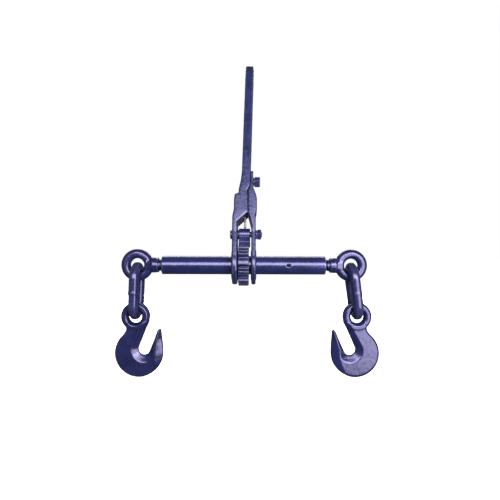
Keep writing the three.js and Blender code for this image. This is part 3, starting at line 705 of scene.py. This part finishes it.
def lock_washer(seat, height, cut):
    """A split washer's field on a seat, cut at an angle in degrees from straight up."""
    def field(x, y, z):
        about_y, about_z = y, z - height
        from_axis = np.sqrt(about_y ** 2 + about_z ** 2)
        ring = soft_max(np.abs(from_axis - 6.15) - 1.25, np.abs(x - seat - 1.0) - 1.0, 0.5)
        across = about_y * cos(radians(cut)) - about_z * sin(radians(cut))
        outward_part = about_y * sin(radians(cut)) + about_z * cos(radians(cut))
        slot = np.maximum(np.abs(across + 0.8 * (x - seat - 1.0)) - 0.45, -outward_part)
        return soft_max(ring, -slot, 0.25)
    return field


for name, seat, height, cut in (("handle_bolt_lock_washer", BOLT_SEAT, BOLT_Z, -70),
                                ("pawl_pin_lock_washer", RIGHT_OUTSIDE + 0.3, PAWL_PIN_Z, -115)):
    ring_points, ring_faces = skin(lock_washer(seat, height, cut), (seat - 1, -9, height - 9),
                                   (seat + 3, 9, height + 9), 0.3)
    washer = piece(name + "_enamelled", stood_up(ring_points), ring_faces, fastener_enamel)
    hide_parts(name)
    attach(washer, "lever")

# ---- Pawl pin and nut ----
# The pawl turns on a plain pin with a low round head on the left. A hexagon nut, chamfered
# on both faces, holds it on the right, with a turn of thread showing past it.

NUT_START = RIGHT_OUTSIDE + 0.3 + 2 + 0.3
NUT_HEIGHT = 6.2
PIN_END = NUT_START + NUT_HEIGHT + 1.4
HEAD_FACE = LEFT_OUTSIDE - 0.3

pin_profile = eased([(HEAD_FACE - 3.4, 0.01), (HEAD_FACE - 3.4, 6.0), (HEAD_FACE - 2.6, 7.2),
                     (HEAD_FACE, 7.2), (HEAD_FACE, 4.6), (NUT_START - 3, 4.6),
                     (NUT_START - 2.6, 4.5), (PIN_END - 1.2, 4.5), (PIN_END, 3.5),
                     (PIN_END, 0.01)], 0.35)
pin_points, pin_faces = turned(pin_profile, 56)
pin = piece("pawl_pin_enamelled", stood_up(pin_points + [0, 0, PAWL_PIN_Z]), pin_faces,
            fastener_enamel, 35)
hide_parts("pawl_pin")
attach(pin, "lever")


def pin_nut(x, y, z):
    from_axis = np.sqrt(y * y + (z - PAWL_PIN_Z) ** 2)
    past = np.abs(x - NUT_START - NUT_HEIGHT / 2) - NUT_HEIGHT / 2
    nut = soft_max(hexagon(y, z, PAWL_PIN_Z), past, 0.6)
    nut = soft_max(nut, (from_axis + 1.73 * past - HEX_CHAMFER) / 2, 0.5)
    return soft_max(nut, 4.9 - from_axis, 0.3)


nut_points, nut_faces = skin(pin_nut, (NUT_START - 1, -10, PAWL_PIN_Z - 9),
                             (NUT_START + 8, 10, PAWL_PIN_Z + 9), 0.35)
nut = piece("pawl_pin_nut_enamelled", stood_up(nut_points), nut_faces, fastener_enamel)
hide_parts("pawl_pin_nut")
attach(nut, "lever")

# ---- Pawl spacer ----
# A thin turned steel ring on the pin, which keeps the pawl off the left arm.


def steel(name, dark, bright, gloss, grain_scale, stretch, stains):
    """Bare or plated steel with fine tool marks drawn along one way, and dull stains."""
    material = bpy.data.materials.new(name)
    material.use_nodes = True
    shader = material.node_tree.nodes["Principled BSDF"]
    shader.inputs["Metallic"].default_value = 1.0
    marks = noise(material, grain_scale, 4, stretch)
    cloud = noise(material, 140, 5)
    body = mixed(material, ranged(material, marks, 0.3, 0.7, 0, 1), dark, bright)
    stain = ranged(material, cloud, 0.66 - stains, 0.72, 0, 1)
    colour = mixed(material, stain, body, tuple(0.45 * c for c in dark))
    links = material.node_tree.links
    links.new(colour, shader.inputs["Base Color"])
    rough = mixed(material, stain, mixed(material, marks, (gloss - 0.08,) * 3, (gloss + 0.10,) * 3),
                  (min(0.85, gloss + 0.3),) * 3)
    links.new(rough, shader.inputs["Roughness"])
    bumped(material, [(marks, 0.00004), (cloud, 0.00006)])
    return material


dark_steel = steel("dark_steel", (0.045, 0.045, 0.052), (0.17, 0.17, 0.185), 0.42,
                   700, (0.2, 1.6, 1.6), 0.06)
sleeve_profile = eased([(-9.3, 4.9), (-8.2, 4.9), (-8.2, 7.4), (-9.3, 7.4)], 0.25)
sleeve_points, sleeve_faces = turned(sleeve_profile, 48)
sleeve = piece("pawl_spacer_turned", stood_up(sleeve_points + [0, 0, PAWL_PIN_Z]), sleeve_faces,
               dark_steel, 35)
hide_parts("pawl_spacer")
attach(sleeve, "lever")

# ---- Pawl ----
# A forged rocker with two prongs, one for each way of turning. Its round hub has three
# shallow grooves for the sprung plunger, and its broad faces are ground flat before painting.

PAWL_X = 1.1
PAWL_HALF = 9.0
PAWL_HUB = 9.6
PAWL_TILT = radians(20)


def from_teeth(radius, angle):
    """A point of the prong, from where it lies about the gear with the prong in the teeth."""
    y, z = radius * sin(radians(angle)), radius * cos(radians(angle)) - PAWL_PIN_Z
    return (y * cos(PAWL_TILT) - z * sin(PAWL_TILT), y * sin(PAWL_TILT) + z * cos(PAWL_TILT))


def from_hub(radius, angle):
    return (radius * sin(radians(angle)), -radius * cos(radians(angle)))


def hub_radius(angle):
    nearest_groove = min(abs(angle - k * 20) for k in (-1, 0, 1))
    return PAWL_HUB - 0.7 * max(0, 1 - nearest_groove / 8)


prong = [from_hub(16.9, 59.7), from_teeth(29.1, 16.6), from_teeth(27.8, 10.2),
         from_hub(16.9, 34), from_hub(13, 36), from_hub(11.4, 0)]
pawl_side = [(hub_radius(a) * sin(radians(a)), hub_radius(a) * cos(radians(a)))
             for a in range(-96, 97, 4)]
pawl_side += prong + [(-y, z) for y, z in reversed(prong[:-1])]


def rocker(x, y, z):
    body = soft_max(inside_of(pawl_side, y, z), np.abs(x - PAWL_X) - PAWL_HALF, 1.3)
    return soft_max(body, 5.0 - np.sqrt(y * y + z * z), 0.5)


pawl_enamel = enamel("pawl_enamel", (0.007, 0.010, 0.045), (0.013, 0.017, 0.075),
                     0.24, 0.00020, 0.07)
rocker_points, rocker_faces = skin(rocker, (-9, -18, -22), (11.5, 18, 11), 0.5)
rx, ry, rz = rocker_points.T
rocker_points = np.stack([rx, ry * cos(PAWL_TILT) - rz * sin(PAWL_TILT),
                          ry * sin(PAWL_TILT) + rz * cos(PAWL_TILT) + PAWL_PIN_Z], -1)
pawl = piece("pawl_enamelled", stood_up(rocker_points), rocker_faces, pawl_enamel)
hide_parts("pawl")
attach(pawl, "pawl")

# ---- Detent plunger ----
# A zinc-plated turned rod that slides in the forging and rests its round nose in one of the
# pawl's grooves. Its head is thicker, for the spring to press on.

nose = PAWL_PIN_Z + PAWL_HUB + 0.3
plunger_head = 86.0
plunger_profile = [(nose, 0.01), (nose + 0.1, 0.6), (nose + 0.5, 1.33), (nose + 1.0, 1.7),
                   (nose + 1.6, 1.9), (nose + 3.0, 1.9), (plunger_head - 6, 1.9),
                   (plunger_head - 3.1, 1.9), (plunger_head - 3.0, 2.0),
                   (plunger_head - 3.0, 2.6), (plunger_head - 2.8, 2.8),
                   (plunger_head - 0.2, 2.8), (plunger_head, 2.6), (plunger_head, 0.01)]
plated_steel = steel("plated_steel", (0.17, 0.18, 0.20), (0.34, 0.35, 0.38), 0.42,
                     1500, (1.6, 1.6, 0.25), 0.02)
plunger_points, plunger_faces = turned(plunger_profile, 40)
px, py, pz = np.asarray(plunger_points).T
plunger = piece("detent_plunger_plated", stood_up(np.stack([PLUNGER_X - pz, py, px], -1)),
                plunger_faces, plated_steel, 40)
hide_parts("detent_plunger")
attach(plunger, "plunger")

# ---- Detent spring ----
# A coil of hard black wire in the bore above the plunger's head. It shortens as a tooth
# pushes the pawl, and the pawl the plunger, upwards.

SPRING_LOW = 86.75


def moved(made, change):
    """Passes the points of the object's mesh, in millimetres, through change."""
    points = change(np.array([v.co[:] for v in made.data.vertices]) * 1000)
    made.data.vertices.foreach_set("co", (points * 0.001).astype(np.float32).ravel())
    made.data.update()


coil_tree, size, end = tree_with_sizes(
    "wire_coil", {"Turns": 7.0, "Mean radius": 0.0022, "Height": 0.0165, "Wire radius": 0.00045})
coil = joined(coil_tree, "GeometryNodeCurveSpiral", {
    "Resolution": 26, "Rotations": size["Turns"], "Start Radius": size["Mean radius"],
    "End Radius": size["Mean radius"], "Height": size["Height"]})
wire = joined(coil_tree, "GeometryNodeCurvePrimitiveCircle", {
    "Resolution": 10, "Radius": size["Wire radius"]})
drawn = joined(coil_tree, "GeometryNodeCurveToMesh", {
    "Curve": coil.outputs["Curve"], "Profile Curve": wire.outputs["Curve"], "Fill Caps": True})
closed_off(coil_tree, drawn.outputs["Mesh"], size, end)

spring_steel = steel("spring_steel", (0.030, 0.030, 0.036), (0.12, 0.12, 0.135), 0.38,
                     1800, (1, 1, 3), 0.03)
seed = piece("detent_spring_wire", [(0, 0, 0)], [], spring_steel)
spring = grown(seed, coil_tree, {"Turns": 7.0}, spring_steel)
moved(spring, lambda points: stood_up(points + [PLUNGER_X, 0, SPRING_LOW]))
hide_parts("detent_spring")
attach(spring, "lever")
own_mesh(spring)

# ---- End screws ----
# A forging at each end: an eye of flattened eight-sided bar, a short faceted neck and a
# collar, all enamelled, on a screw whose rolled thread runs into the barrel. The left screw
# mirrors the right one, so its thread is left-handed.

SCREW_RADIUS = 9.0
SCREW_SHANK = 128.5
COLLAR_RADIUS = 11.5
EYE_X = 33.5
EYE_MEAN = 17.8
EYE_BAR = 7.2
LEFT_COLLAR = -132.5
RIGHT_COLLAR = 134.0
THREAD_PITCH = 3.4


def eye_and_collar(x, y, z):
    out = np.sqrt((x - EYE_X) ** 2 + z * z) - EYE_MEAN
    ring = soft_max(np.abs(out) - EYE_BAR, np.abs(y) - EYE_BAR + 0.1, 1.2)
    ring = soft_max(ring, (np.abs(out) + np.abs(y)) * 0.7071 - EYE_BAR + 0.15, 1.3)
    width = 10.6 - 0.32 * np.clip(x - 9, 0, 8)
    neck = soft_max(np.abs(y) - width * 0.86, np.abs(z) - width * 1.02, 1.2)
    neck = soft_max(neck, (np.abs(y) + np.abs(z)) * 0.7071 - width * 0.98, 1.2)
    neck = soft_max(neck, np.abs(x - 12.5) - 7.5, 2.0)
    from_axis = np.sqrt(y * y + z * z)
    collar = soft_max(from_axis - COLLAR_RADIUS, np.abs(x - 4.9) - 4.9, 1.6)
    hole = 10.6 - np.sqrt((x - EYE_X) ** 2 + z * z)
    forged = soft_min(soft_min(ring, neck, 3.0), collar, 2.2)
    return np.maximum(forged, hole)


def thread(around=40, steps=8):
    """Points and faces of the rolled screw, from its inner end up into the collar."""
    along = np.concatenate([[-SCREW_SHANK, -SCREW_SHANK + 0.02],
                            np.arange(-SCREW_SHANK + 0.3, 0.0, THREAD_PITCH / steps), [0.2, 1.6, 1.62]])
    turn = np.arange(around) * 2 * pi / around
    phase = (along[:, None] / THREAD_PITCH - turn[None, :] / (2 * pi)) % 1.0
    groove = np.clip(1.35 * (0.5 + 0.5 * np.cos(2 * pi * phase)) - 0.2, 0, 1)
    fade = np.clip((-1.5 - along) / 2.5, 0, 1) * np.clip((along + SCREW_SHANK) / 1.5, 0, 1)
    radius = SCREW_RADIUS - 1.15 * groove * fade[:, None]
    radius -= np.clip(1.6 - (along + SCREW_SHANK), 0, 1.6)[:, None]
    radius[0], radius[-1] = 0.01, 0.01
    points = np.stack([np.repeat(along[:, None], around, 1), radius * np.cos(turn),
                       radius * np.sin(turn)], -1).reshape(-1, 3)
    faces = [(i * around + j, i * around + (j + 1) % around, (i + 1) * around + (j + 1) % around,
              (i + 1) * around + j) for i in range(len(along) - 1) for j in range(around)]
    return points, outward(points, faces)


end_enamel = enamel("end_fitting_enamel", (0.006, 0.008, 0.038), (0.012, 0.015, 0.064),
                    0.20, 0.00040, 0.01)
thread_steel = steel("thread_steel", (0.028, 0.032, 0.085), (0.090, 0.096, 0.200), 0.34,
                     420, (3.0, 0.6, 0.6), 0.10)
fitting_points, fitting_faces = skin(eye_and_collar, (-2, -14, -27), (61, 14, 27), 0.62)
thread_points, thread_faces = thread()
for name, side, collar_x in (("left", -1, LEFT_COLLAR), ("right", 1, RIGHT_COLLAR)):
    place = np.array([side, 1, 1])
    order = slice(None, None, side)
    fitting = piece(name + "_eye_enamelled", fitting_points * place + [collar_x, 0, 0],
                    fitting_faces[:, order], end_enamel)
    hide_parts(name + "_end_screw")
    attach(fitting, name + "_screw")
    screw = piece(name + "_screw_thread", thread_points * place + [collar_x, 0, 0],
                  [f[order] for f in thread_faces], thread_steel, 60)
    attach(screw, name + "_screw")

# ---- Stop pins ----
# A hard steel pin driven through each screw's inner end, which meets the barrel's inner
# shoulder before the screw can run out. The solids are right as they are.

for name in ("left_stop_pin", "right_stop_pin"):
    stop_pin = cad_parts[name]
    stop_pin.data.materials.clear()
    stop_pin.data.materials.append(dark_steel)

# ---- Links ----
# One chain link at each end, bent from round bar and butt-welded in the middle of its front
# run, where the weld's upset stands a little proud. Its bar has soft facets all round.

LINK_BOW = 18.2
LINK_RUN = 38.6
LINK_MIDDLE = -40.3

link_tree, size, end = tree_with_sizes("welded_link", {
    "Bar radius": 0.0075, "Upset": 0.06, "Upset width": 0.0025, "Weld height": 0.0,
    "Sides": 36, "Flats": 6, "Flat depth": 0.020})
path = joined(link_tree, "GeometryNodeMeshToCurve", {"Mesh": size["Geometry"]})
where = joined(link_tree, "GeometryNodeInputPosition")
part = joined(link_tree, "ShaderNodeSeparateXYZ", {"Vector": where.outputs["Position"]})
above = joined(link_tree, "ShaderNodeMath", {0: part.outputs["Z"], 1: size["Weld height"]},
               operation="SUBTRACT")
in_widths = joined(link_tree, "ShaderNodeMath", {0: above.outputs[0], 1: size["Upset width"]},
                   operation="DIVIDE")
squared = joined(link_tree, "ShaderNodeMath", {0: in_widths.outputs[0], 1: 2.0}, operation="POWER")
squared_down = joined(link_tree, "ShaderNodeMath", {0: squared.outputs[0], 1: -1.0},
                      operation="MULTIPLY")
bell = joined(link_tree, "ShaderNodeMath", {0: squared_down.outputs[0]}, operation="EXPONENT")
in_front = joined(link_tree, "ShaderNodeMath", {0: part.outputs["Y"], 1: -0.010},
                  operation="LESS_THAN")
here_only = joined(link_tree, "ShaderNodeMath", {0: bell.outputs[0], 1: in_front.outputs[0]},
                   operation="MULTIPLY")
swell = joined(link_tree, "ShaderNodeMath", {0: here_only.outputs[0], 1: size["Upset"]},
               operation="MULTIPLY")
thicker = joined(link_tree, "ShaderNodeMath", {0: swell.outputs[0], 1: 1.0}, operation="ADD")
swept_path = joined(link_tree, "GeometryNodeSetCurveRadius", {
    "Curve": path.outputs["Curve"], "Radius": thicker.outputs[0]})
bar = joined(link_tree, "GeometryNodeCurvePrimitiveCircle", {
    "Resolution": size["Sides"], "Radius": size["Bar radius"]})
along = joined(link_tree, "GeometryNodeSplineParameter")
whole_turns = joined(link_tree, "ShaderNodeMath", {0: size["Flats"], 1: 2 * pi}, operation="MULTIPLY")
phase = joined(link_tree, "ShaderNodeMath", {0: along.outputs["Factor"], 1: whole_turns.outputs[0]},
               operation="MULTIPLY")
ripple = joined(link_tree, "ShaderNodeMath", {0: phase.outputs[0]}, operation="COSINE")
rise = joined(link_tree, "ShaderNodeMath", {0: ripple.outputs[0], 1: size["Flat depth"], 2: 1.0},
              operation="MULTIPLY_ADD")
round_place = joined(link_tree, "GeometryNodeInputPosition")
fluted = joined(link_tree, "ShaderNodeVectorMath", {
    0: round_place.outputs["Position"], "Scale": rise.outputs[0]}, operation="SCALE")
flatted = joined(link_tree, "GeometryNodeSetPosition", {
    "Geometry": bar.outputs["Curve"], "Position": fluted.outputs[0]})
swept = joined(link_tree, "GeometryNodeCurveToMesh", {
    "Curve": swept_path.outputs["Curve"], "Profile Curve": flatted.outputs["Geometry"]})
reach = joined(link_tree, "GeometryNodeInputRadius")
link_tree.links.new(reach.outputs[0], swept.inputs["Scale"])
closed_off(link_tree, swept.outputs["Mesh"], size, end)


def link_path():
    """The middle line of the bar, closed, in Y and Z about the eye that the link hangs in."""
    half = LINK_RUN / 2
    front = [(-LINK_BOW, z) for z in np.linspace(half, -half, 40)[1:-1]]
    back = [(LINK_BOW, z) for z in np.linspace(-half, half, 16)[1:-1]]
    loop = [*arc((0, half), LINK_BOW, 0, 180, 30), *front,
            *arc((0, -half), LINK_BOW, 180, 360, 30), *back]
    return [(0, y, z + LINK_MIDDLE) for y, z in loop]


def swung(points, lean):
    """Points turned about Y by an angle in degrees, as the hanging pieces lean at rest."""
    x, y, z = np.asarray(points, float).T
    turn = radians(lean)
    return np.stack([x * cos(turn) + z * sin(turn), y, z * cos(turn) - x * sin(turn)], -1)


link_enamel = enamel("link_enamel", (0.006, 0.008, 0.038), (0.012, 0.015, 0.064),
                     0.20, 0.00032, 0.02)
for name, eye_x, lean in (("left", -166.0, 2.0), ("right", 167.5, -7.0)):
    line = link_path()
    count = len(line)
    mesh = bpy.data.meshes.new(name + "_link_enamelled")
    mesh.from_pydata([tuple(c * 0.001 for c in p) for p in line],
                     [(i, (i + 1) % count) for i in range(count)], [])
    seed = bpy.data.objects.new(name + "_link_enamelled", mesh)
    bpy.context.scene.collection.objects.link(seed)
    link = grown(seed, link_tree, {"Weld height": 0.001 * (LINK_MIDDLE - 2.0)}, link_enamel)
    moved(link, lambda points: swung(points, lean) + [eye_x, 0, 0])
    face_out(link)
    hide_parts(name + "_link")
    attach(link, name + "_chain_link")

# ---- Grab hooks ----
# Each hook is a drop forging: a round eye that runs into a flat body, a narrow throat that
# grips one link of chain across its width, and a point that stands up beside it. The dies
# leave a broad bevel all along the throat and a narrower one round the outside.

HOOK_HALF = 8.0
THROAT = (13.7, -50.9)
THROAT_RADIUS = 8.9
BOWL = (6.2, -56.4)
BOWL_RADIUS = 37.2
SLANT = radians(21.5)
HOOK_EYE_MEAN = 16.1
HOOK_EYE_BAR = 6.0
HOOK_EYE_HALF = 7.4

throat_left = (THROAT[0] - THROAT_RADIUS * cos(SLANT), THROAT[1] + THROAT_RADIUS * sin(SLANT))
throat_right = (THROAT[0] + THROAT_RADIUS * cos(SLANT), THROAT[1] - THROAT_RADIUS * sin(SLANT))
tip_z = -22.4 + 2.4 * sin(SLANT)
tip_x = throat_right[0] + (tip_z - throat_right[1]) * sin(SLANT) / cos(SLANT)
throat_rise = -throat_left[0] * sin(SLANT) - throat_left[1] * cos(SLANT)
throat_top = (throat_left[0] + throat_rise * sin(SLANT), throat_left[1] + throat_rise * cos(SLANT))
throat_line = [throat_top, throat_left, *arc(THROAT, THROAT_RADIUS, 158.5, 338.5, 22)[1:-1],
               throat_right, (tip_x, tip_z)]
tip_line = arc((tip_x + 2.4 * cos(SLANT), -22.4), 2.4, 158.5, 5, 8)[1:]
outer_line = [*tip_line, *curve(tip_line[-1], (43.0, -42), (43.4, BOWL[1]), 12)[1:],
              *arc(BOWL, BOWL_RADIUS, 0, -222, 60)[1:]]
outer_line += [*curve(outer_line[-1], (-14.5, -25), (-13.5, -19), 8)[1:]]
hook_side = [*throat_line, *outer_line, *arc((0, 0), 14.3, -132, -48, 8)]


def bevel(half, depth, width, drop):
    """A flat that falls by drop over the last width of the body's face before an edge."""
    slope = drop / width
    return (half - HOOK_HALF + slope * (width - depth)) / np.sqrt(1 + slope * slope)


def grab_hook(x, y, z):
    half = np.abs(y)
    throat_depth, _ = nearest(throat_line, x, z, closed=False)
    outer_depth, _ = nearest(outer_line, x, z, closed=False)
    point_side = np.clip((x - THROAT[0] - (z - THROAT[1]) * 0.394) / 7 + 0.5, 0, 1)
    throat_bevel = (np.interp(z, [-62, -45, -20, -4], [10.5, 9.5, 7.5, 5.5]) * (1 - point_side)
                    + np.interp(z, [-64, -50, -30, -22], [11.0, 5.0, 3.4, 2.2]) * point_side)
    back_bevel = np.interp(z, [-86, -76, -64, -52, -40, -28, -21],
                           [3.0, 8.0, 11.5, 11.5, 8.5, 4.2, 2.0])
    outer_bevel = 3.0 + (back_bevel - 3.0) * np.clip((x - 18) / 6, 0, 1)
    back_drop = 2.4 + np.interp(z, [-34, -22], [2.4, 0.6]) * np.clip((x - 18) / 6, 0, 1)
    throat_drop = 6.2 - np.interp(z, [-34, -22], [0.0, 3.2]) * point_side
    body = soft_max(inside_of(hook_side, x, z), half - HOOK_HALF, 1.6)
    body = soft_max(body, bevel(half, throat_depth, throat_bevel, throat_drop), 0.9)
    body = soft_max(body, bevel(half, outer_depth, outer_bevel, back_drop), 0.9)
    out = np.sqrt(x * x + z * z) - HOOK_EYE_MEAN
    ring = soft_max(np.sqrt((out - 3) ** 2 + y * y) - HOOK_EYE_BAR - 3, half - HOOK_EYE_HALF, 1.0)
    ring = soft_max(ring, out - HOOK_EYE_BAR, 1.0)
    ring = soft_max(ring, (np.abs(out) + half) * 0.7071 - 7.2, 1.0)
    return soft_min(body, ring, 3.0)


hook_enamel = enamel("hook_enamel", (0.006, 0.008, 0.036), (0.011, 0.014, 0.062),
                     0.20, 0.00034, 0.03)
hook_points, hook_faces = skin(grab_hook, (-34, -10, -97), (47, 10, 25), 0.62)
for name, eye, side, lean in (("left", (-168.795, 0, -80.051), 1, 0.0),
                              ("right", (177.262, 0, -79.503), -1, -2.5)):
    facing = np.array([side, side, 1])
    hook = piece(name + "_hook_enamelled", swung(hook_points * facing, lean) + eye, hook_faces,
                 hook_enamel)
    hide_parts(name + "_hook")
    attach(hook, name + "_grab_hook")
